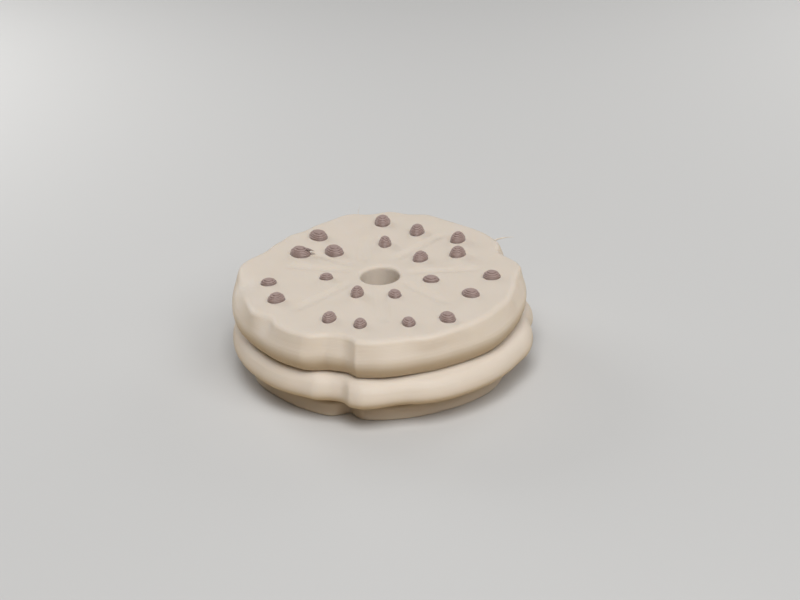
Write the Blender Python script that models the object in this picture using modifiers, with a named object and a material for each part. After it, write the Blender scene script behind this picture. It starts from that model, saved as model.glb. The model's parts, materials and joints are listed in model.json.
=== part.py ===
"""A toy chocolate chip cookie with a hole through its middle, printed as one piece of plastic.

Two wavy, round-edged tiers stand on a short foot: a disc with a flat top above, and a fatter
roll below it, with a deep groove between them. Eight shallow creases run out from the hole
over the flat top, and twenty-one domed chips stand on it.

Lengths are in millimetres and angles in degrees until the mesh is finished, which is then
scaled to metres. Angles run anticlockwise from +X, seen from above. +Z is up.
"""

import math

import bmesh
import bpy
from mathutils import Matrix, Vector

MM = 0.001

# Driving dimensions.
HEIGHT = 14.1  # table to flat top
HOLE_RADIUS = 2.95
HOLE_ROUND = 0.6  # rounding of the hole's upper rim
RIM_ROUND = 1.1  # rounding of the flat top's outer edge
DISC_RADIUS = 22.0  # upper tier, at its widest
DISC_WIDEST_Z = 10.7
DISC_SHOULDER = 2.0  # height of the curve from the widest line up to the slanted wall
WALL_SLANT = 25.0  # slant of the disc's wall from upright, inwards to the top
GROOVE_RADIUS = 20.1  # bottom of the groove between the tiers
GROOVE_Z = 7.82
ROLL_RADIUS = 22.8  # lower tier, at its widest
ROLL_WIDEST_Z = 5.0
NECK_RADIUS = 18.0  # line where the roll meets the foot
NECK_Z = 2.95
FOOT_TOP_RADIUS = 18.9
FOOT_TOP_Z = 1.9
FOOT_RADIUS = 19.35  # the foot spreads out to the table
FOOT_ROUND = 0.3

STEPS = 120  # sides round the turned body
TOP_RINGS = 8  # rows of faces over the flat top
SIDE_STEPS = 6  # rows of faces on each curved side
ROUND_STEPS = 3  # rows of faces on each small rounding

# Waves of each level's outline: angle, height (out from the round), and half width on the
# side of smaller and of larger angles.
DISC_WAVES = (
    (20, -1.4, 9, 5),
    (52, -0.3, 7, 7),
    (70, 0.8, 6, 6),
    (85, 1.1, 7, 7),
    (102, 1.3, 7, 7),
    (125, -0.8, 7, 7),
    (138, -0.5, 5, 5),
    (149, -0.6, 8, 7),
    (165, 0.7, 8, 12),
    (-168, 0.55, 20, 20),
    (-136, 0.2, 6, 12),
    (-99, -0.25, 5, 6),
    (-76, -0.25, 9, 5),
    (-64, -0.45, 14, 13),
    (-41, 0.25, 8, 9),
)
# What the flat top's edge adds to the disc's waves.
RIM_WAVES = (
    (7, 0.75, 6, 6),
    (60, 0.8, 30, 30),
    (86, 0.2, 5, 5),
    (115, 0.8, 30, 30),
    (165, 0.5, 9, 8),
    (-172, -0.3, 12, 10),
    (-164, -0.25, 5, 5),
    (-151, 0.45, 5, 5),
    (-143, -0.75, 6, 4),
    (-128, 0.35, 6, 8),
    (-118, 0.5, 4, 5),
    (-97, 0.45, 7, 9),
    (-72, 0.9, 7, 24),
    (-26, 0.35, 6, 4),
    (-8, -0.2, 4, 4),
)
ROLL_WAVES = (
    (-5, -0.35, 4, 4),
    (6, 0.35, 6, 6),
    (-17, 0.45, 9, 8),
    (-122, -0.45, 8, 10),
    (-98, 0.65, 5, 7),
    (-83, -0.35, 6, 5),
    (-64, 0.6, 14, 34),
    (-38, 0.35, 14, 12),
    (-24, 0.3, 6, 6),
    (102, 0.5, 9, 9),
    (146, -0.7, 9, 9),
)
FOOT_WAVES = (
    (-107, -1.7, 5, 4.5),
    (-38, 0.65, 18, 14),
    (-163, 0.9, 16, 14),
    (102, 0.5, 9, 9),
    (146, -0.7, 9, 9),
)
# Dents with a sharp lip: depth, angles where the near side starts and ends, and angles where
# the rise to the lip starts and ends.
DISC_DENT = (1.4, -123.5, -113.0, -107.5, -100.6)
ROLL_DENT = (1.0, -119.0, -110.0, -108.0, -103.2)
# Heights between which one level's outline turns into the next.
FOOT_TO_ROLL = (1.7, 3.0)
ROLL_TO_DISC = (7.3, 8.3)
DISC_TO_RIM = (11.0, 14.1)
WAVES_START = 6.0  # radius inside which the flat faces have no waves
# Where the flat top and the wall give way to one wide rounding: angle, share, half widths.
SOFT_EDGE = ((-179, 1.0, 9, 11), (7, 0.35, 9, 7))
SOFT_EDGE_START = 16.5  # radius where the wide rounding starts

# Creases of the flat top, from the hole's rim out: start, end.
CREASES = (
    ((3.4, 0.5), (16.0, 0.6)),
    ((1.4, 4.3), (10.8, 13.9)),
    ((-2.4, 3.8), (-1.8, 14.6)),
    ((-3.4, 3.3), (-10.6, 8.7)),
    ((-3.5, 1.7), (-14.6, 4.5)),
    ((-3.5, -1.3), (-13.2, -10.6)),
    ((0.2, -3.8), (0.5, -16.0)),
    ((2.8, -2.0), (10.4, -10.8)),
)
CREASE_DEPTH = 0.18
CREASE_HALF_WIDTH = 1.3
CREASE_FADE = 2.5  # length over which a crease runs out at its ends

# Chips: angle and radius of the middle, width across the radius, height above the top.
CHIPS = (
    (88, 18.1, 2.4, 1.2),
    (67, 15.3, 2.15, 1.3),
    (41, 16.2, 2.0, 1.4),
    (124, 16.9, 2.6, 1.0),
    (85, 10.4, 1.9, 1.3),
    (130, 10.8, 2.6, 1.1),
    (146, 14.7, 2.6, 1.2),
    (37, 7.8, 2.0, 1.25),
    (25, 13.2, 2.0, 1.4),
    (-8, 16.9, 2.1, 1.0),
    (-178, 8.1, 1.6, 0.7),
    (-18, 8.0, 2.0, 0.6),
    (-176, 16.8, 1.9, 0.7),
    (-119, 7.1, 1.8, 1.35),
    (-73, 7.2, 1.85, 0.8),
    (-30, 15.4, 2.2, 0.8),
    (-156, 16.9, 2.1, 1.15),
    (-119, 15.6, 2.0, 1.1),
    (-57.5, 17.9, 2.2, 1.0),
    (-101, 16.1, 1.85, 0.95),
    (-76, 16.4, 1.9, 0.85),
)
CHIP_LENGTH = 1.25  # length along the radius, as a share of the width
CHIP_ROOT = 0.8  # depth of the chip's root below the flat top
CHIP_SIDES = 12
CHIP_RINGS = 8

BODY_COLOUR = (0.68, 0.60, 0.51, 1.0)
BODY_ROUGHNESS = 0.55
CHIP_COLOUR = (0.36, 0.265, 0.235, 1.0)
CHIP_ROUGHNESS = 0.42
SHARP_ANGLE = 40.0  # edges that turn more than this are shaded sharp


def clear_scene():
    for thing in list(bpy.data.objects):
        bpy.data.objects.remove(thing, do_unlink=True)


def new_collection(name):
    made = bpy.data.collections.new(name)
    bpy.context.scene.collection.children.link(made)
    return made


def plastic(name, colour, roughness):
    made = bpy.data.materials.new(name)
    made.use_nodes = True
    shader = made.node_tree.nodes["Principled BSDF"]
    shader.inputs["Base Color"].default_value = colour
    shader.inputs["Roughness"].default_value = roughness
    shader.inputs["Metallic"].default_value = 0.0
    made.diffuse_color = colour
    return made


def smooth_step(value, low, high):
    share = min(max((value - low) / (high - low), 0.0), 1.0)
    return share * share * (3.0 - 2.0 * share)


def arc(centre_r, centre_z, reach_r, reach_z, first, last, steps):
    """Points (r, z) of an ellipse's arc in the profile's plane, both ends included."""
    points = []
    for step in range(steps + 1):
        turn = math.radians(first + (last - first) * step / steps)
        points.append((centre_r + reach_r * math.cos(turn), centre_z + reach_z * math.sin(turn)))
    return points


def disc_side():
    """Points (r, z) from the flat top's edge to the groove: a rounded rim, a slanted wall, a
    shoulder to the widest line, and the underside."""
    slant = math.radians(WALL_SLANT)
    depth = DISC_RADIUS - GROOVE_RADIUS
    shoulder_turn = math.degrees(math.atan(math.tan(slant) * DISC_SHOULDER / depth))
    shoulder = arc(
        GROOVE_RADIUS, DISC_WIDEST_Z, depth, DISC_SHOULDER, shoulder_turn, 0, ROUND_STEPS
    )
    wall_foot_r, wall_foot_z = shoulder[0]
    rim_z = HEIGHT - RIM_ROUND
    wall_top_z = rim_z + RIM_ROUND * math.sin(slant)
    wall_top_r = wall_foot_r - (wall_top_z - wall_foot_z) * math.tan(slant)
    rim_r = wall_top_r - RIM_ROUND * math.cos(slant)
    rim = arc(rim_r, rim_z, RIM_ROUND, RIM_ROUND, 90, WALL_SLANT, ROUND_STEPS)
    underside = arc(
        GROOVE_RADIUS, DISC_WIDEST_Z, depth, DISC_WIDEST_Z - GROOVE_Z, 0, -90, SIDE_STEPS
    )
    return rim + shoulder + underside[1:]


def body_profile():
    """Closed profile (r, z): out over the flat top, down the outer side, in and up the hole."""
    hole_rim = HOLE_RADIUS + HOLE_ROUND
    hole_edge = arc(
        hole_rim, HEIGHT - HOLE_ROUND, HOLE_ROUND, HOLE_ROUND, 180, 90, ROUND_STEPS
    )
    side = disc_side()
    flat_edge = side[0][0]
    profile = hole_edge
    for ring in range(1, TOP_RINGS):
        profile.append((hole_rim + (flat_edge - hole_rim) * ring / TOP_RINGS, HEIGHT))
    profile += side
    roll_top = arc(
        GROOVE_RADIUS,
        ROLL_WIDEST_Z,
        ROLL_RADIUS - GROOVE_RADIUS,
        GROOVE_Z - ROLL_WIDEST_Z,
        90,
        0,
        SIDE_STEPS,
    )
    roll_base = arc(
        NECK_RADIUS,
        ROLL_WIDEST_Z,
        ROLL_RADIUS - NECK_RADIUS,
        ROLL_WIDEST_Z - NECK_Z,
        0,
        -90,
        SIDE_STEPS,
    )
    profile += roll_top[1:] + roll_base[1:]
    profile.append((FOOT_TOP_RADIUS, FOOT_TOP_Z))
    profile += arc(
        FOOT_RADIUS - FOOT_ROUND, FOOT_ROUND, FOOT_ROUND, FOOT_ROUND, 0, -90, ROUND_STEPS
    )
    profile.append((WAVES_START, 0.0))
    profile.append((HOLE_RADIUS, 0.0))
    return profile


def waves(angle, heights):
    """How far a level's outline stands out from the round at an angle."""
    out = 0.0
    for middle, height, width_before, width_after in heights:
        away = (angle - middle + 180.0) % 360.0 - 180.0
        half_width = width_before if away < 0.0 else width_after
        out += height * math.exp(-((away / half_width) ** 2))
    return out


def dent(angle, depth, start, floor, rise, lip):
    """How far a dent reaches in at an angle: a smooth near side, a floor, and a rise that
    ends in a sharp lip."""
    near = smooth_step(angle, start, floor)
    share = min(max((angle - rise) / (lip - rise), 0.0), 1.0)
    return depth * near * (1.0 - share * share)


def outline_shift(radius, angle, z):
    """Radial move that turns the round body into the wavy one at a point."""
    foot = waves(angle, FOOT_WAVES)
    roll = waves(angle, ROLL_WAVES) - dent(angle, *ROLL_DENT)
    disc = waves(angle, DISC_WAVES) - dent(angle, *DISC_DENT)
    out = foot + (roll - foot) * smooth_step(z, *FOOT_TO_ROLL)
    out += (disc - roll) * smooth_step(z, *ROLL_TO_DISC)
    out += waves(angle, RIM_WAVES) * smooth_step(z, *DISC_TO_RIM)
    return out * smooth_step(radius, WAVES_START, FOOT_RADIUS)


def edge_drop(radius, angle, z):
    """How far the edge's wide rounding, an ellipse, lies below a point."""
    share = min(max((radius - SOFT_EDGE_START) / (DISC_RADIUS - SOFT_EDGE_START), 0.0), 1.0)
    level = DISC_WIDEST_Z + (HEIGHT - DISC_WIDEST_Z) * math.sqrt(1.0 - share * share)
    return waves(angle, SOFT_EDGE) * max(z - level, 0.0)


def crease_depth(x, y):
    """Depth of the pressed creases below the flat top at a point."""
    deepest = 0.0
    for start, end in CREASES:
        origin = Vector(start)
        along = Vector(end) - origin
        length = along.length
        along.normalize()
        offset = Vector((x, y)) - origin
        run = offset.dot(along)
        aside = abs(offset.x * along.y - offset.y * along.x)
        fade = smooth_step(run, 0.0, CREASE_FADE) * smooth_step(length - run, 0.0, CREASE_FADE)
        wall = 1.0 - smooth_step(aside, 0.0, CREASE_HALF_WIDTH)
        deepest = max(deepest, CREASE_DEPTH * fade * wall)
    return deepest


def turned_body(collection):
    """The round body, turned from its profile."""
    profile = body_profile()
    mesh = bpy.data.meshes.new("cookie_profile")
    edges = [(i, (i + 1) % len(profile)) for i in range(len(profile))]
    mesh.from_pydata([(r, 0.0, z) for r, z in profile], edges, [])
    body = bpy.data.objects.new("cookie", mesh)
    collection.objects.link(body)
    screw = body.modifiers.new("turn", "SCREW")
    screw.steps = STEPS
    screw.render_steps = STEPS
    screw.use_merge_vertices = True
    screw.merge_threshold = 0.0001
    apply_modifiers(body)
    return body


def apply_modifiers(thing):
    depsgraph = bpy.context.evaluated_depsgraph_get()
    made = bpy.data.meshes.new_from_object(thing.evaluated_get(depsgraph))
    thing.modifiers.clear()
    thing.data = made


def shape_body(body):
    """Moves the turned body's points out to the wavy outline, and presses the creases in."""
    for vertex in body.data.vertices:
        x, y, z = vertex.co
        radius = math.hypot(x, y)
        angle = math.degrees(math.atan2(y, x))
        scale = 1.0 + outline_shift(radius, angle, z) / radius
        x *= scale
        y *= scale
        if z > HEIGHT - HOLE_ROUND:
            z -= crease_depth(x, y)
        z -= edge_drop(radius, angle, z)
        vertex.co = (x, y, z)


def chip(angle, radius, width, height, material, collection):
    """One chip: a dome on a root that sinks in the body."""
    mesh = bpy.data.meshes.new("chip")
    shape = bmesh.new()
    bmesh.ops.create_uvsphere(shape, u_segments=CHIP_SIDES, v_segments=CHIP_RINGS, radius=1.0)
    for vertex in shape.verts:
        x, y, z = vertex.co
        z *= height if z > 0.0 else CHIP_ROOT
        vertex.co = (x * width * CHIP_LENGTH / 2, y * width / 2, z)
    turn = math.radians(angle)
    place = Matrix.Translation((radius * math.cos(turn), radius * math.sin(turn), HEIGHT))
    bmesh.ops.transform(shape, matrix=place @ Matrix.Rotation(turn, 4, "Z"), verts=shape.verts)
    shape.to_mesh(mesh)
    shape.free()
    mesh.materials.append(material)
    made = bpy.data.objects.new("chip", mesh)
    collection.objects.link(made)
    return made


def fuse_chips(body, material):
    """Joins the chips to the body, which is one print with them."""
    chips = new_collection("chips")
    for angle, radius, width, height in CHIPS:
        chip(angle, radius, width, height, material, chips)
    join = body.modifiers.new("chips", "BOOLEAN")
    join.operation = "UNION"
    join.operand_type = "COLLECTION"
    join.collection = chips
    join.solver = "EXACT"
    join.material_mode = "TRANSFER"
    apply_modifiers(body)
    for made in list(chips.objects):
        bpy.data.objects.remove(made, do_unlink=True)
    bpy.data.collections.remove(chips)


def finish_mesh(body):
    """Puts the origin below the middle of the body's box, turns millimetres to metres, and
    shades the round faces smooth."""
    xs = [vertex.co.x for vertex in body.data.vertices]
    ys = [vertex.co.y for vertex in body.data.vertices]
    middle = Vector(((min(xs) + max(xs)) / 2, (min(ys) + max(ys)) / 2, 0.0))
    body.data.transform(Matrix.Scale(MM, 4) @ Matrix.Translation(-middle))
    body.data.shade_smooth()
    body.data.set_sharp_from_angle(angle=math.radians(SHARP_ANGLE))


def main():
    clear_scene()
    parts = new_collection("toy_chocolate_chip_cookie")
    body = turned_body(parts)
    body.data.materials.clear()
    body.data.materials.append(plastic("cookie_plastic", BODY_COLOUR, BODY_ROUGHNESS))
    shape_body(body)
    fuse_chips(body, plastic("chip_plastic", CHIP_COLOUR, CHIP_ROUGHNESS))
    finish_mesh(body)


main()
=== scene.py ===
"""The looks of a toy chocolate chip cookie with a hole, printed as one piece of plastic.

The body is turned again round the hole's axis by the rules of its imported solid, in finer
steps, and the chips are stacked in the layers that they were printed in. Lengths are in
millimetres and angles in degrees until a mesh is finished, which is then scaled to metres and
moved to the hole's place in the frame. Angles run anticlockwise from +X, seen from above.
"""

import json
import math

import bpy
import numpy as np
from mathutils import Matrix, Vector, noise


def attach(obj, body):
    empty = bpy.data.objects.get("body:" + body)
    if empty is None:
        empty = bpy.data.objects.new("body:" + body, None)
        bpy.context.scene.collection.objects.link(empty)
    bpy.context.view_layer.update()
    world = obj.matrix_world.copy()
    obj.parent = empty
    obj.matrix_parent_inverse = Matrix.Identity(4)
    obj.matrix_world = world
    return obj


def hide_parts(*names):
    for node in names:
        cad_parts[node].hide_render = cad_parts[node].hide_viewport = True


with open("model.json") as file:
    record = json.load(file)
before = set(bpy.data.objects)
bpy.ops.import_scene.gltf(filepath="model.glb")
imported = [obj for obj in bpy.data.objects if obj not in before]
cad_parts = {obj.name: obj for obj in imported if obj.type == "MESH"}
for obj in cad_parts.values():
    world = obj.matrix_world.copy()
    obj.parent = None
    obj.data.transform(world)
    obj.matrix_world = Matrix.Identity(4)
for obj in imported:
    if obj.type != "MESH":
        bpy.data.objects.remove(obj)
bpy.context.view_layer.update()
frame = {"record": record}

MM = 0.001
PAINTED_SHADE = "painted_shade"  # mesh attribute: how much painted shade a point takes, from 0 to 1

# Driving dimensions, as in the imported solid.
HEIGHT = 14.1  # table to flat top
HOLE_RADIUS = 2.95
HOLE_ROUND = 0.6  # rounding of the hole's upper rim
RIM_ROUND = 1.1  # rounding of the flat top's outer edge
DISC_RADIUS = 22.0  # upper tier, at its widest
DISC_WIDEST_Z = 10.7
DISC_SHOULDER = 2.0  # height of the curve from the widest line up to the slanted wall
WALL_SLANT = 25.0  # slant of the disc's wall from upright, inwards to the top
GROOVE_RADIUS = 20.1  # bottom of the groove between the tiers
GROOVE_Z = 7.82
ROLL_RADIUS = 22.8  # lower tier, at its widest
ROLL_WIDEST_Z = 5.0
NECK_RADIUS = 18.0  # line where the roll meets the foot
NECK_Z = 2.95
FOOT_TOP_RADIUS = 18.9
FOOT_TOP_Z = 1.9
FOOT_RADIUS = 19.35  # the foot spreads out to the table
FOOT_ROUND = 0.3

STEPS = 480  # sides round the turned body
TOP_RINGS = 70
SIDE_STEPS = 16  # rows of faces on each curved side
ROUND_STEPS = 8  # rows of faces on each small rounding
WALL_STEPS = 8  # rows of faces on the disc's slanted wall
HOLE_STEPS = 24  # rows of faces up the hole's wall
FOOT_STEPS = 6
BASE_RINGS = 10

# Waves of each level's outline: angle, height (out from the round), and half width on the
# side of smaller and of larger angles.
DISC_WAVES = (
    (20, -1.4, 9, 5),
    (52, -0.3, 7, 7),
    (70, 0.8, 6, 6),
    (85, 1.1, 7, 7),
    (102, 1.3, 7, 7),
    (125, -0.8, 7, 7),
    (138, -0.5, 5, 5),
    (149, -0.6, 8, 7),
    (165, 0.7, 8, 12),
    (-168, 0.55, 20, 20),
    (-136, 0.2, 6, 12),
    (-99, -0.25, 5, 6),
    (-76, -0.25, 9, 5),
    (-64, -0.45, 14, 13),
    (-41, 0.25, 8, 9),
)
# What the flat top's edge adds to the disc's waves.
RIM_WAVES = (
    (7, 0.75, 6, 6),
    (60, 0.8, 30, 30),
    (86, 0.2, 5, 5),
    (115, 0.8, 30, 30),
    (165, 0.5, 9, 8),
    (-172, -0.3, 12, 10),
    (-164, -0.25, 5, 5),
    (-151, 0.45, 5, 5),
    (-143, -0.75, 6, 4),
    (-128, 0.35, 6, 8),
    (-118, 0.5, 4, 5),
    (-97, 0.45, 7, 9),
    (-72, 0.9, 7, 24),
    (-26, 0.35, 6, 4),
    (-8, -0.2, 4, 4),
)
ROLL_WAVES = (
    (-5, -0.35, 4, 4),
    (6, 0.35, 6, 6),
    (-17, 0.45, 9, 8),
    (-122, -0.45, 8, 10),
    (-98, 0.65, 5, 7),
    (-83, -0.35, 6, 5),
    (-64, 0.6, 14, 34),
    (-38, 0.35, 14, 12),
    (-24, 0.3, 6, 6),
    (102, 0.5, 9, 9),
    (146, -0.7, 9, 9),
)
FOOT_WAVES = (
    (-107, -1.7, 5, 4.5),
    (-38, 0.65, 18, 14),
    (-163, 0.9, 16, 14),
    (102, 0.5, 9, 9),
    (146, -0.7, 9, 9),
)
# Dents with a sharp lip: depth, angles where the near side starts and ends, and angles where
# the rise to the lip starts and ends.
DISC_DENT = (1.4, -123.5, -113.0, -107.5, -100.6)
ROLL_DENT = (1.0, -119.0, -110.0, -108.0, -103.2)
# Heights between which one level's outline turns into the next.
FOOT_TO_ROLL = (1.7, 3.0)
ROLL_TO_DISC = (7.3, 8.3)
DISC_TO_RIM = (11.0, 14.1)
WAVES_START = 6.0  # radius inside which the flat faces have no waves
# Where the flat top and the wall give way to one wide rounding: angle, share, half widths.
SOFT_EDGE = ((-179, 1.0, 9, 11), (7, 0.35, 9, 7))
SOFT_EDGE_START = 16.5  # radius where the wide rounding starts

# Creases of the flat top, from the hole's rim out: start, end.
CREASES = (
    ((3.4, 0.5), (16.0, 0.6)),
    ((1.4, 4.3), (10.8, 13.9)),
    ((-2.4, 3.8), (-1.8, 14.6)),
    ((-3.4, 3.3), (-10.6, 8.7)),
    ((-3.5, 1.7), (-14.6, 4.5)),
    ((-3.5, -1.3), (-13.2, -10.6)),
    ((0.2, -3.8), (0.5, -16.0)),
    ((2.8, -2.0), (10.4, -10.8)),
)
CREASE_DEPTH = 0.18
CREASE_HALF_WIDTH = 1.3
CREASE_FADE = 2.5  # length over which a crease runs out at its ends

# Chips: angle and radius of the middle, width across the radius, height above the top.
CHIPS = (
    (88, 18.1, 2.4, 1.2),
    (67, 15.3, 2.15, 1.3),
    (41, 16.2, 2.0, 1.4),
    (124, 16.9, 2.6, 1.0),
    (85, 10.4, 1.9, 1.3),
    (130, 10.8, 2.6, 1.1),
    (146, 14.7, 2.6, 1.2),
    (37, 7.8, 2.0, 1.25),
    (25, 13.2, 2.0, 1.4),
    (-8, 16.9, 2.1, 1.0),
    (-178, 8.1, 1.6, 0.7),
    (-18, 8.0, 2.0, 0.6),
    (-176, 16.8, 1.9, 0.7),
    (-119, 7.1, 1.8, 1.35),
    (-73, 7.2, 1.85, 0.8),
    (-30, 15.4, 2.2, 0.8),
    (-156, 16.9, 2.1, 1.15),
    (-119, 15.6, 2.0, 1.1),
    (-57.5, 17.9, 2.2, 1.0),
    (-101, 16.1, 1.85, 0.95),
    (-76, 16.4, 1.9, 0.85),
)
CHIP_LENGTH = 1.25  # length along the radius, as a share of the width
CHIP_ROOT = 0.3  # how deep a chip's lowest layer starts below the flat top
CHIP_SIDES = 40
CHIP_FOOT_SHADE_HEIGHT = 0.55  # height over the flat top up to which a chip takes painted shade
LAYER = 0.2  # thickness of one printed layer
LEAST_LAYERS = 3
LAYER_EDGE = (0.0, 0.12, 0.5, 0.88, 1.0)  # heights of the rows, as shares of the layer
LAYER_BULGE = 0.035  # how far a layer's edge stands out in its middle
CHIP_WOBBLE = 0.09  # unevenness of a layer's outline, as a share of its radius
CHIP_WOBBLE_RATE = 1.3  # how fast the unevenness changes round the outline
CHIP_SEED_STEP = 10.0  # from one chip's unevenness to the next chip's
LAYER_SEED_STEP = 0.7

# Stray threads of filament: start, bend, end, and half width and half thickness at the start.
HAIRS = (
    ((17.8, 11.4, 13.4), (19.1, 11.4, 14.0), (21.0, 10.9, 14.15), 0.14, 0.14),
    ((-3.3, 22.6, 13.5), (-3.2, 22.8, 14.3), (-2.9, 22.8, 15.0), 0.05, 0.05),
)
# Flakes torn from the right flank of one chip.
FLAKES = (
    ((-11.7, 8.1, 15.25), (-11.0, 7.65, 15.15), (-10.45, 7.6, 14.2), 0.11, 0.1),
    ((-11.2, 7.9, 15.1), (-10.6, 7.7, 15.2), (-9.95, 7.8, 14.7), 0.32, 0.06),
    ((-10.95, 7.7, 14.9), (-10.5, 7.8, 14.95), (-10.15, 7.95, 14.6), 0.22, 0.05),
    ((-10.7, 7.85, 14.4), (-10.2, 7.85, 14.45), (-9.8, 7.9, 14.2), 0.16, 0.05),
)
STRAND_STEPS = 20
STRAND_SIDES = 10
STRAND_TIP = 0.15  # thickness at the end, as a share of the start

WOBBLE = 0.035  # unevenness of the printed surface
WOBBLE_SIZE = 4.0

# Edges that turn more than these angles are shaded sharp.
SHARP_ANGLE = 60.0
CHIP_SHARP_ANGLE = 35.0

# Where the body takes painted shade: the height or radius where each band starts, and where
# it is full. The last band takes the painted shade away again.
SHADE_UNDER_DISC = (11.1, 9.1)
SHADE_OVER_ROLL = (GROOVE_RADIUS + 0.4, GROOVE_RADIUS)
SHADE_UNDER_ROLL = (5.8, 3.9)
SHADE_AT_NECK = (4.0, 3.2)
SHADE_FADE_ON_FOOT = (NECK_Z, 1.7)
# Shares of the painted shade.
GROOVE_SHADE_SHARE = 0.6  # in the groove and under the roll
NECK_SHADE_SHARE = 0.35  # added at the neck
FOOT_SHADE_FADE = 0.9  # taken away on the foot

# Colours in linear light.
PLASTIC = (0.70, 0.62, 0.54, 1.0)
PLASTIC_DARK = (0.655, 0.575, 0.485, 1.0)  # in the mottle and the streaks
PLASTIC_PAINTED_SHADE = (0.36, 0.255, 0.13, 1.0)  # painted shade: a warmer, darker colour in the groove, under the roll and at the neck
CHIP_PLASTIC = (0.385, 0.275, 0.248, 1.0)
CHIP_DARK_AND_FOOT_SHADE = (0.17, 0.118, 0.10, 1.0)  # in a chip's streaks, and as painted shade at its foot
FLOOR = (0.58, 0.575, 0.565, 1.0)
FLOOR_BOUNCE = (0.68, 0.58, 0.43, 1.0)  # what the floor gives back to the cookie
# Shares of the darker colours, and of the painted shade at a chip's foot.
STREAK_SHARE = 0.35
CHIP_STREAK_SHARE = 0.3
CHIP_FOOT_SHADE_SHARE = 0.6

# How the plastics and the floor take the light.
ROUGHNESS = 0.55
SPECULAR = 0.35
GLOW = 0.25  # share of the light that travels inside the plastic
GLOW_COLOURS = (1.0, 0.75, 0.5)
GLOW_REACH = 0.0008  # metres
CHIP_ROUGHNESS = 0.42
CHIP_SPECULAR = 1.0
CHIP_ANISOTROPY = 0.85
CHIP_SHINE_TURN = 0.25  # a quarter turn, from along the layer lines to across them
LAYERS_ACROSS = (0.0, 0.25, 1.0)  # nearly upright, and along no face of a chip
FLOOR_ROUGHNESS = 0.8

# The printed surface, lengths in metres.
MOTTLE_SIZE = 0.0045
MOTTLE_DETAIL = 3.0
STREAK = (0.015, 0.0005)  # length and thickness
CHIP_STREAK = (0.0012, 0.0002)
STREAK_DETAIL = 2.0
LAYER_DEPTH = 0.000005
STREAK_DEPTH = 0.00003
WAVE_RATE = 20.0  # radians of the wave texture in a metre, at a scale of 1

# Soft square lights: azimuth from the camera's side to the right, elevation, distance in
# metres, and power in watts for a light that is one metre away.
LIGHTS = (
    ("front", 0, 45, 0.7, 1.4),
    ("front_high", 0, 65, 0.7, 6.2),
    ("front_right", 45, 44, 0.7, 3.0),
    ("back_left", -135, 25, 0.22, 3.0),
    ("back_right", 135, 25, 0.22, 1.55),
)
LIGHT_SIZE = 0.5  # side, as a share of the distance
WORLD = (1.0, 0.99, 0.97, 1.0)
WORLD_STRENGTH = 0.02
FLOOR_REACH = 2.0  # metres from the middle of the floor to each edge

# The photograph's camera: pixels a millimetre at the hole, how far it looks down, its roll,
# its focal length in pixels, and where the middle of the hole's rim stands in the picture.
PICTURE = (800, 600)
PIXELS_PER_MM = 6.63
PITCH = 27.5
ROLL = 2.5
FOCAL_PIXELS = 2200.0
HOLE_PIXEL = (380.0, 274.8)
SENSOR = 36.0
CLIP_START = 0.01  # metres


def hole_axis():
    """The foot of the hole's axis in the frame: the middle of the stated opening."""
    low, high = frame["record"]["physics"]["openings"][0]["box_m"]
    return Vector(((low[0] + high[0]) / 2, (low[1] + high[1]) / 2, 0.0))


def smooth_step(value, start, end):
    """A smooth rise from 0 at start to 1 at end, which may be the lower of the two."""
    share = np.clip((value - start) / (end - start), 0.0, 1.0)
    return share * share * (3.0 - 2.0 * share)


def arc(centre_r, centre_z, reach_r, reach_z, first, last, steps):
    """Points (r, z) of an ellipse's arc in the profile's plane, both ends included."""
    points = []
    for step in range(steps + 1):
        turn = math.radians(first + (last - first) * step / steps)
        points.append((centre_r + reach_r * math.cos(turn), centre_z + reach_z * math.sin(turn)))
    return points


def line(start, end, steps):
    """Points (r, z) from start to end, both left out."""
    points = []
    for step in range(1, steps):
        share = step / steps
        points.append(
            (start[0] + (end[0] - start[0]) * share, start[1] + (end[1] - start[1]) * share)
        )
    return points


def disc_side():
    """Points (r, z) from the flat top's edge to the groove: a rounded rim, a slanted wall, a
    shoulder to the widest line, and the underside."""
    slant = math.radians(WALL_SLANT)
    depth = DISC_RADIUS - GROOVE_RADIUS
    shoulder_turn = math.degrees(math.atan(math.tan(slant) * DISC_SHOULDER / depth))
    shoulder = arc(
        GROOVE_RADIUS, DISC_WIDEST_Z, depth, DISC_SHOULDER, shoulder_turn, 0, ROUND_STEPS
    )
    wall_foot_r, wall_foot_z = shoulder[0]
    rim_z = HEIGHT - RIM_ROUND
    wall_top_z = rim_z + RIM_ROUND * math.sin(slant)
    wall_top_r = wall_foot_r - (wall_top_z - wall_foot_z) * math.tan(slant)
    rim_r = wall_top_r - RIM_ROUND * math.cos(slant)
    rim = arc(rim_r, rim_z, RIM_ROUND, RIM_ROUND, 90, WALL_SLANT, ROUND_STEPS)
    wall = line(rim[-1], shoulder[0], WALL_STEPS)
    underside = arc(
        GROOVE_RADIUS, DISC_WIDEST_Z, depth, DISC_WIDEST_Z - GROOVE_Z, 0, -90, SIDE_STEPS
    )
    return rim + wall + shoulder + underside[1:]


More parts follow.
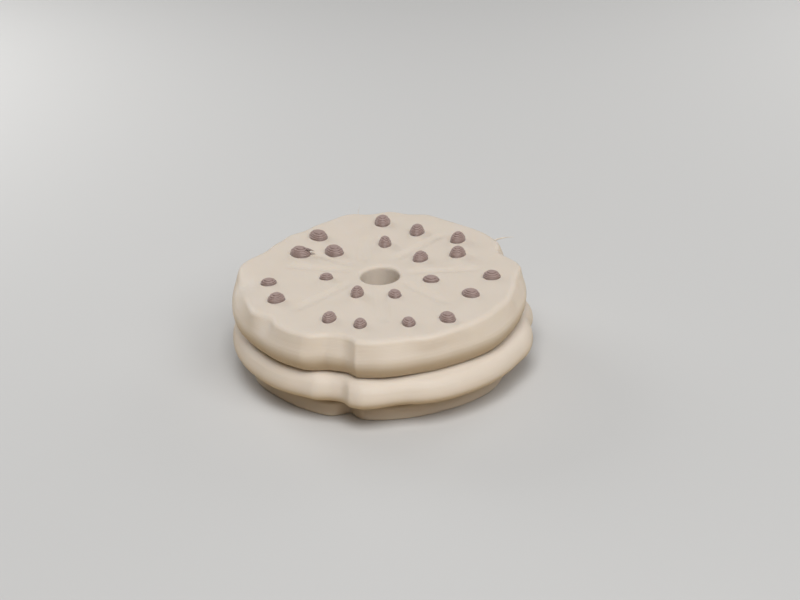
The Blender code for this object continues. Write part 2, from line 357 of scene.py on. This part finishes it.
def body_profile():
    """Closed profile (r, z): out over the flat top, down the outer side, in and up the hole."""
    hole_rim = HOLE_RADIUS + HOLE_ROUND
    hole_edge = arc(
        hole_rim, HEIGHT - HOLE_ROUND, HOLE_ROUND, HOLE_ROUND, 180, 90, ROUND_STEPS
    )
    side = disc_side()
    roll_top = arc(
        GROOVE_RADIUS,
        ROLL_WIDEST_Z,
        ROLL_RADIUS - GROOVE_RADIUS,
        GROOVE_Z - ROLL_WIDEST_Z,
        90,
        0,
        SIDE_STEPS,
    )
    roll_base = arc(
        NECK_RADIUS,
        ROLL_WIDEST_Z,
        ROLL_RADIUS - NECK_RADIUS,
        ROLL_WIDEST_Z - NECK_Z,
        0,
        -90,
        SIDE_STEPS,
    )
    foot_top = (FOOT_TOP_RADIUS, FOOT_TOP_Z)
    foot = arc(
        FOOT_RADIUS - FOOT_ROUND, FOOT_ROUND, FOOT_ROUND, FOOT_ROUND, 0, -90, ROUND_STEPS
    )
    profile = hole_edge + line(hole_edge[-1], side[0], TOP_RINGS) + side
    profile += roll_top[1:] + roll_base[1:]
    profile += line(roll_base[-1], foot_top, FOOT_STEPS) + [foot_top]
    profile += line(foot_top, foot[0], FOOT_STEPS) + foot
    profile += line(foot[-1], (HOLE_RADIUS, 0.0), BASE_RINGS)
    profile.append((HOLE_RADIUS, 0.0))
    profile += line((HOLE_RADIUS, 0.0), hole_edge[0], HOLE_STEPS)
    return profile


def waves(angle, heights):
    """How far a level's outline stands out from the round at an angle."""
    out = np.zeros_like(angle)
    for middle, height, width_before, width_after in heights:
        away = (angle - middle + 180.0) % 360.0 - 180.0
        half_width = np.where(away < 0.0, width_before, width_after)
        out += height * np.exp(-((away / half_width) ** 2))
    return out


def dent(angle, depth, start, floor, rise, lip):
    """How far a dent reaches in at an angle: a smooth near side, a floor, and a rise that
    ends in a sharp lip."""
    near = smooth_step(angle, start, floor)
    share = np.clip((angle - rise) / (lip - rise), 0.0, 1.0)
    return depth * near * (1.0 - share * share)


def outline_shift(radius, angle, z):
    """Radial move that turns the round body into the wavy one at a point."""
    foot = waves(angle, FOOT_WAVES)
    roll = waves(angle, ROLL_WAVES) - dent(angle, *ROLL_DENT)
    disc = waves(angle, DISC_WAVES) - dent(angle, *DISC_DENT)
    out = foot + (roll - foot) * smooth_step(z, *FOOT_TO_ROLL)
    out = out + (disc - roll) * smooth_step(z, *ROLL_TO_DISC)
    out = out + waves(angle, RIM_WAVES) * smooth_step(z, *DISC_TO_RIM)
    return out * smooth_step(radius, WAVES_START, FOOT_RADIUS)


def edge_drop(radius, angle, z):
    """How far the edge's wide rounding, an ellipse, lies below a point."""
    share = np.clip((radius - SOFT_EDGE_START) / (DISC_RADIUS - SOFT_EDGE_START), 0.0, 1.0)
    level = DISC_WIDEST_Z + (HEIGHT - DISC_WIDEST_Z) * np.sqrt(1.0 - share * share)
    return waves(angle, SOFT_EDGE) * np.maximum(z - level, 0.0)


def crease_depth(x, y):
    """Depth of the pressed creases below the flat top at a point."""
    deepest = np.zeros_like(x)
    for start, end in CREASES:
        length = math.dist(start, end)
        along = ((end[0] - start[0]) / length, (end[1] - start[1]) / length)
        run = (x - start[0]) * along[0] + (y - start[1]) * along[1]
        aside = np.abs((x - start[0]) * along[1] - (y - start[1]) * along[0])
        fade = smooth_step(run, 0.0, CREASE_FADE) * smooth_step(length - run, 0.0, CREASE_FADE)
        wall = 1.0 - smooth_step(aside, 0.0, CREASE_HALF_WIDTH)
        deepest = np.maximum(deepest, CREASE_DEPTH * fade * wall)
    return deepest


def grid_faces(rows, columns):
    """Faces of a closed grid of points that wraps round both ways."""
    row = np.arange(rows)[:, None]
    column = np.arange(columns)[None, :]
    next_row = (row + 1) % rows
    next_column = (column + 1) % columns
    face = (
        row * columns + column,
        next_row * columns + column,
        next_row * columns + next_column,
        row * columns + next_column,
    )
    return np.stack(face, axis=-1).reshape(-1, 4).tolist()


def tube_faces(first, rows, sides):
    """Faces of a tube of rings and of its two ends, from the number of its first point."""
    faces = []
    for row in range(rows - 1):
        low = first + row * sides
        high = low + sides
        for side in range(sides):
            after = (side + 1) % sides
            faces.append((low + side, low + after, high + after, high + side))
    last = first + (rows - 1) * sides
    faces.append(tuple(range(last, last + sides)))
    faces.append(tuple(range(first + sides - 1, first - 1, -1)))
    return faces


def finish_mesh(name, points, faces, material, sharp_angle):
    """A mesh object made from points in millimetres round the hole's axis."""
    mesh = bpy.data.meshes.new(name)
    mesh.from_pydata(points, [], faces)
    mesh.transform(Matrix.Translation(hole_axis()) @ Matrix.Scale(MM, 4))
    mesh.shade_smooth()
    mesh.set_sharp_from_angle(angle=math.radians(sharp_angle))
    mesh.materials.append(material)
    made = bpy.data.objects.new(name, mesh)
    bpy.context.scene.collection.objects.link(made)
    return made


def make_body(material):
    """The body: its profile turned round the hole's axis, with every point moved by the rules
    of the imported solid."""
    profile = np.array(body_profile())
    angle = np.linspace(-180.0, 180.0, STEPS, endpoint=False)[None, :]
    turn = np.radians(angle)
    radius = profile[:, 0][:, None]
    z = profile[:, 1][:, None] + 0.0 * angle
    out = radius + outline_shift(radius, angle, z)
    x = out * np.cos(turn)
    y = out * np.sin(turn)
    z = np.where(z > HEIGHT - HOLE_ROUND, z - crease_depth(x, y), z)
    z = z - edge_drop(radius, angle, z)
    points = np.stack((x, y, z), axis=-1).reshape(-1, 3)
    moved = [uneven(Vector(point)) for point in points.tolist()]
    faces = grid_faces(len(profile), STEPS)
    body = finish_mesh("cookie_body", moved, faces, material, SHARP_ANGLE)
    # Painted shade in the groove, under the roll and at the neck.
    set_painted_shade(body, np.repeat(painted_shade(profile), STEPS))
    return body


def set_painted_shade(piece, values):
    """Stores how much painted shade each point takes, from 0 in the open to 1."""
    depth = piece.data.attributes.new(PAINTED_SHADE, "FLOAT", "POINT")
    depth.data.foreach_set("value", np.asarray(values, dtype=np.float32))


def painted_shade(profile):
    """How much painted shade each row of the body takes: more in the groove, under the roll and
    at the neck, and less again down the foot."""
    radius = profile[:, 0]
    z = profile[:, 1]
    row = np.arange(len(profile))
    groove = int(np.argmin(np.hypot(radius - GROOVE_RADIUS, z - GROOVE_Z)))
    below = row > groove
    under_disc = smooth_step(z, *SHADE_UNDER_DISC) * ~below
    over_roll = smooth_step(radius, *SHADE_OVER_ROLL) * below * (z > ROLL_WIDEST_Z)
    under_roll = smooth_step(z, *SHADE_UNDER_ROLL) * below
    neck = smooth_step(z, *SHADE_AT_NECK)
    fade = 1.0 - FOOT_SHADE_FADE * smooth_step(z, *SHADE_FADE_ON_FOOT)
    depth = GROOVE_SHADE_SHARE * (under_disc + over_roll)
    depth += (GROOVE_SHADE_SHARE * under_roll + NECK_SHADE_SHARE * neck) * fade
    return np.where(radius > WAVES_START, depth, 0.0)


def uneven(point):
    """Moves a point of the surface a little in or out, as a printed surface is uneven. Its
    height stays, so the base and the flat top stay flat."""
    shift = noise.noise(point / WOBBLE_SIZE)
    away = Vector((point.x, point.y, 0.0)).normalized()
    return point + away * (shift * WOBBLE)


def chip_points(angle, radius, width, height, seed):
    """Points up one chip, a stack of layers whose outlines shrink to the top, and the number of
    rows that they make."""
    turn = math.radians(angle)
    layers = max(LEAST_LAYERS, round((height + CHIP_ROOT) / LAYER))
    thickness = (height + CHIP_ROOT) / layers
    rows = []
    for layer in range(layers):
        level = (layer + 0.5) * thickness - CHIP_ROOT
        share = min(max(level / height, 0.0), 1.0)
        across = math.sqrt(1.0 - share * share)
        for part in LAYER_EDGE:
            bulge = LAYER_BULGE * (1.0 - (2.0 * part - 1.0) ** 2)
            z = HEIGHT - CHIP_ROOT + (layer + part) * thickness
            rows.append(chip_ring(across, bulge, z, width, seed + layer * LAYER_SEED_STEP))
    points = []
    for row in rows:
        for x, y, z in row:
            points.append(
                (
                    radius * math.cos(turn) + x * math.cos(turn) - y * math.sin(turn),
                    radius * math.sin(turn) + x * math.sin(turn) + y * math.cos(turn),
                    z,
                )
            )
    return points, len(rows)


def chip_ring(across, bulge, z, width, seed):
    """One closed row of a chip, an uneven ellipse that is longer along x."""
    ring = []
    for side in range(CHIP_SIDES):
        turn = math.tau * side / CHIP_SIDES
        place = Vector((math.cos(turn), math.sin(turn), seed)) * CHIP_WOBBLE_RATE
        reach = across * (1.0 + CHIP_WOBBLE * noise.noise(place)) * width / 2 + bulge
        ring.append((reach * CHIP_LENGTH * math.cos(turn), reach * math.sin(turn), z))
    return ring


def make_chips(material):
    """All the chips as one piece, each a closed stack of layers with painted shade at its foot.
    """
    points = []
    faces = []
    for index, (angle, radius, width, height) in enumerate(CHIPS):
        made, rows = chip_points(angle, radius, width, height, seed=CHIP_SEED_STEP * index)
        faces += tube_faces(len(points), rows, CHIP_SIDES)
        points += made
    chips = finish_mesh("cookie_chips", points, faces, material, CHIP_SHARP_ANGLE)
    heights = np.array([point[2] for point in points])
    # Painted shade where each chip meets the flat top.
    set_painted_shade(chips, smooth_step(heights, HEIGHT + CHIP_FOOT_SHADE_HEIGHT, HEIGHT))
    return chips


def make_strands(name, strands, material, depth):
    """Thin curved threads that taper to their ends, all with one share of painted shade."""
    points = []
    faces = []
    for start, bend, end, half_width, half_thickness in strands:
        faces += tube_faces(len(points), STRAND_STEPS + 1, STRAND_SIDES)
        start, bend, end = Vector(start), Vector(bend), Vector(end)
        for step in range(STRAND_STEPS + 1):
            share = step / STRAND_STEPS
            taper = 1.0 - (1.0 - STRAND_TIP) * share
            middle = start * (1.0 - share) ** 2 + bend * 2.0 * share * (1.0 - share)
            middle += end * share**2
            along = ((bend - start) * (1.0 - share) + (end - bend) * share).normalized()
            aside = along.cross(Vector((0.0, 0.0, 1.0))).normalized()
            over = along.cross(aside)
            for side in range(STRAND_SIDES):
                turn = math.tau * side / STRAND_SIDES
                reach = aside * (half_width * math.cos(turn))
                reach += over * (half_thickness * math.sin(turn))
                points.append(middle + reach * taper)
    made = finish_mesh(name, points, faces, material, SHARP_ANGLE)
    set_painted_shade(made, np.full(len(points), depth))
    return made


# ---- materials -------------------------------------------------------------------------------


def new_material(name):
    made = bpy.data.materials.new(name)
    made.use_nodes = True
    tree = made.node_tree
    return made, tree, tree.nodes["Principled BSDF"]


def add(tree, kind, **values):
    node = tree.nodes.new(kind)
    for name, value in values.items():
        if name in node.inputs:
            node.inputs[name].default_value = value
        else:
            setattr(node, name, value)
    return node


def multiply(tree, value, by):
    node = add(tree, "ShaderNodeMath", operation="MULTIPLY")
    tree.links.new(value, node.inputs[0])
    node.inputs[1].default_value = by
    return node.outputs["Value"]


def mix_colours(tree, factor, first, second):
    """A colour between two, each a constant or a socket."""
    mix = add(tree, "ShaderNodeMix", data_type="RGBA")
    tree.links.new(factor, mix.inputs["Factor"])
    for socket, colour in (("A", first), ("B", second)):
        target = [one for one in mix.inputs if one.name == socket and one.type == "RGBA"][0]
        if isinstance(colour, tuple):
            target.default_value = colour
        else:
            tree.links.new(colour, target)
    return [one for one in mix.outputs if one.type == "RGBA"][0]


def stretched(tree, place, size):
    """The place scaled so that a noise comes out as level streaks of a length and thickness."""
    length, thickness = size
    stretch = add(tree, "ShaderNodeMapping")
    stretch.inputs["Scale"].default_value = (1.0 / length, 1.0 / length, 1.0 / thickness)
    tree.links.new(place, stretch.inputs["Vector"])
    return stretch.outputs["Vector"]


def body_material():
    """Matte printed plastic: a faint mottle, streaks and fine lines along the layers, and
    painted shade, a warmer and darker colour, in the groove, under the roll and at the neck."""
    made, tree, shader = new_material("cookie_plastic")
    link = tree.links.new
    place = add(tree, "ShaderNodeTexCoord").outputs["Object"]
    mottle = add(tree, "ShaderNodeTexNoise", Scale=1.0 / MOTTLE_SIZE, Detail=MOTTLE_DETAIL)
    link(place, mottle.inputs["Vector"])
    streaks = add(tree, "ShaderNodeTexNoise", Scale=1.0, Detail=STREAK_DETAIL)
    link(stretched(tree, place, STREAK), streaks.inputs["Vector"])
    layers = add(tree, "ShaderNodeTexWave", bands_direction="Z")
    layers.inputs["Scale"].default_value = math.tau / (WAVE_RATE * LAYER * MM)
    link(place, layers.inputs["Vector"])

    # The painted shade of the groove, the roll's underside and the neck.
    depth = add(tree, "ShaderNodeAttribute", attribute_name=PAINTED_SHADE)
    streak_share = multiply(tree, streaks.outputs["Fac"], STREAK_SHARE)
    colour = mix_colours(tree, mottle.outputs["Fac"], PLASTIC, PLASTIC_DARK)
    colour = mix_colours(tree, streak_share, colour, PLASTIC_DARK)
    colour = mix_colours(tree, depth.outputs["Fac"], colour, PLASTIC_PAINTED_SHADE)
    link(colour, shader.inputs["Base Color"])

    streak_bump = add(tree, "ShaderNodeBump", Distance=STREAK_DEPTH)
    link(streaks.outputs["Fac"], streak_bump.inputs["Height"])
    layer_bump = add(tree, "ShaderNodeBump", Distance=LAYER_DEPTH)
    link(layers.outputs["Fac"], layer_bump.inputs["Height"])
    link(streak_bump.outputs["Normal"], layer_bump.inputs["Normal"])
    link(layer_bump.outputs["Normal"], shader.inputs["Normal"])
    shader.inputs["Roughness"].default_value = ROUGHNESS
    shader.inputs["Specular IOR Level"].default_value = SPECULAR
    shader.inputs["Subsurface Weight"].default_value = GLOW
    shader.inputs["Subsurface Radius"].default_value = GLOW_COLOURS
    shader.inputs["Subsurface Scale"].default_value = GLOW_REACH
    return made


def chip_material():
    """Grey-brown plastic, with darker streaks along its layers and painted shade at its foot."""
    made, tree, shader = new_material("chip_plastic")
    place = add(tree, "ShaderNodeTexCoord").outputs["Object"]
    streaks = add(tree, "ShaderNodeTexNoise", Scale=1.0, Detail=STREAK_DETAIL)
    tree.links.new(stretched(tree, place, CHIP_STREAK), streaks.inputs["Vector"])
    # The painted shade at a chip's foot.
    foot = add(tree, "ShaderNodeAttribute", attribute_name=PAINTED_SHADE)
    streak_share = multiply(tree, streaks.outputs["Fac"], CHIP_STREAK_SHARE)
    foot_shade_share = multiply(tree, foot.outputs["Fac"], CHIP_FOOT_SHADE_SHARE)
    colour = mix_colours(tree, streak_share, CHIP_PLASTIC, CHIP_DARK_AND_FOOT_SHADE)
    colour = mix_colours(tree, foot_shade_share, colour, CHIP_DARK_AND_FOOT_SHADE)
    tree.links.new(colour, shader.inputs["Base Color"])
    shader.inputs["Roughness"].default_value = CHIP_ROUGHNESS
    shader.inputs["Specular IOR Level"].default_value = CHIP_SPECULAR
    # The layer lines run level round each chip and draw its shine out into an upright streak.
    shader.inputs["Anisotropic"].default_value = CHIP_ANISOTROPY
    shader.inputs["Anisotropic Rotation"].default_value = CHIP_SHINE_TURN
    shape = add(tree, "ShaderNodeNewGeometry")
    level = add(tree, "ShaderNodeVectorMath", operation="CROSS_PRODUCT")
    level.inputs[1].default_value = LAYERS_ACROSS
    tree.links.new(shape.outputs["Normal"], level.inputs[0])
    tree.links.new(level.outputs["Vector"], shader.inputs["Tangent"])
    return made


def floor_material():
    """A pale floor that gives back a warmer light than it shows."""
    made, tree, shader = new_material("floor")
    ray = add(tree, "ShaderNodeLightPath")
    colour = mix_colours(tree, ray.outputs["Is Camera Ray"], FLOOR_BOUNCE, FLOOR)
    tree.links.new(colour, shader.inputs["Base Color"])
    shader.inputs["Roughness"].default_value = FLOOR_ROUGHNESS
    return made


# ---- stage, lights and camera ----------------------------------------------------------------


def make_floor():
    """A square floor under the cookie."""
    mesh = bpy.data.meshes.new("floor")
    around = ((-1, -1), (1, -1), (1, 1), (-1, 1))
    points = [(FLOOR_REACH * x, FLOOR_REACH * y, 0.0) for x, y in around]
    mesh.from_pydata(points, [], [(0, 1, 2, 3)])
    mesh.materials.append(floor_material())
    floor = bpy.data.objects.new("floor", mesh)
    bpy.context.scene.collection.objects.link(floor)


def soft_light(name, azimuth, elevation, distance, power):
    """A square area light that points at the cookie. Azimuth 0 is the camera's side, and 90
    is to the right."""
    data = bpy.data.lights.new(name, "AREA")
    data.size = LIGHT_SIZE * distance
    data.energy = power * distance * distance
    light = bpy.data.objects.new(name, data)
    across = math.radians(azimuth)
    height = math.radians(elevation)
    place = Vector((math.sin(across), -math.cos(across), math.tan(height))).normalized()
    light.location = place * distance
    light.rotation_euler = place.to_track_quat("Z", "Y").to_euler()
    light.visible_camera = False
    bpy.context.scene.collection.objects.link(light)


def make_lights():
    for name, azimuth, elevation, distance, power in LIGHTS:
        soft_light(name, azimuth, elevation, distance, power)
    world = bpy.data.worlds.new("world")
    bpy.context.scene.world = world
    world.use_nodes = True
    world.node_tree.nodes["Background"].inputs["Color"].default_value = WORLD
    world.node_tree.nodes["Background"].inputs["Strength"].default_value = WORLD_STRENGTH
    bpy.context.scene.view_settings.view_transform = "Standard"


def make_camera():
    """The photograph's view: the middle of the hole's rim stands at its pixel, and a
    millimetre there takes its number of pixels."""
    pitch = math.radians(PITCH)
    roll = math.radians(ROLL)
    ahead = Vector((0.0, math.cos(pitch), -math.sin(pitch)))
    level_right = Vector((1.0, 0.0, 0.0))
    level_up = Vector((0.0, math.sin(pitch), math.cos(pitch)))
    right = level_right * math.cos(roll) - level_up * math.sin(roll)
    up = level_up * math.cos(roll) + level_right * math.sin(roll)
    across = (HOLE_PIXEL[0] - PICTURE[0] / 2) / FOCAL_PIXELS
    down = (HOLE_PIXEL[1] - PICTURE[1] / 2) / FOCAL_PIXELS
    depth = FOCAL_PIXELS / PIXELS_PER_MM * MM
    rim_middle = hole_axis() + Vector((0.0, 0.0, HEIGHT * MM))
    place = rim_middle - (right * across - up * down + ahead) * depth
    data = bpy.data.cameras.new("camera")
    data.sensor_width = SENSOR
    data.lens = FOCAL_PIXELS / PICTURE[0] * SENSOR
    data.clip_start = CLIP_START
    camera = bpy.data.objects.new("camera", data)
    turn = Matrix((right, up, -ahead)).transposed().to_4x4()
    camera.matrix_world = Matrix.Translation(place) @ turn
    bpy.context.scene.collection.objects.link(camera)
    bpy.context.scene.camera = camera


def main():
    plastic = body_material()
    chip_plastic = chip_material()
    pieces = (
        (make_body(plastic), "cookie_plastic"),
        (make_chips(chip_plastic), "chip_plastic"),
        # The hairs take no painted shade; the flakes take a chip's full painted foot shade.
        (make_strands("cookie_hairs", HAIRS, plastic, 0.0), "cookie_plastic"),
        (make_strands("cookie_flakes", FLAKES, chip_plastic, 1.0), "chip_plastic"),
    )
    for piece, slot in pieces:
        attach(piece, "root")
        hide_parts("cookie")
    make_floor()
    make_lights()
    make_camera()


main()
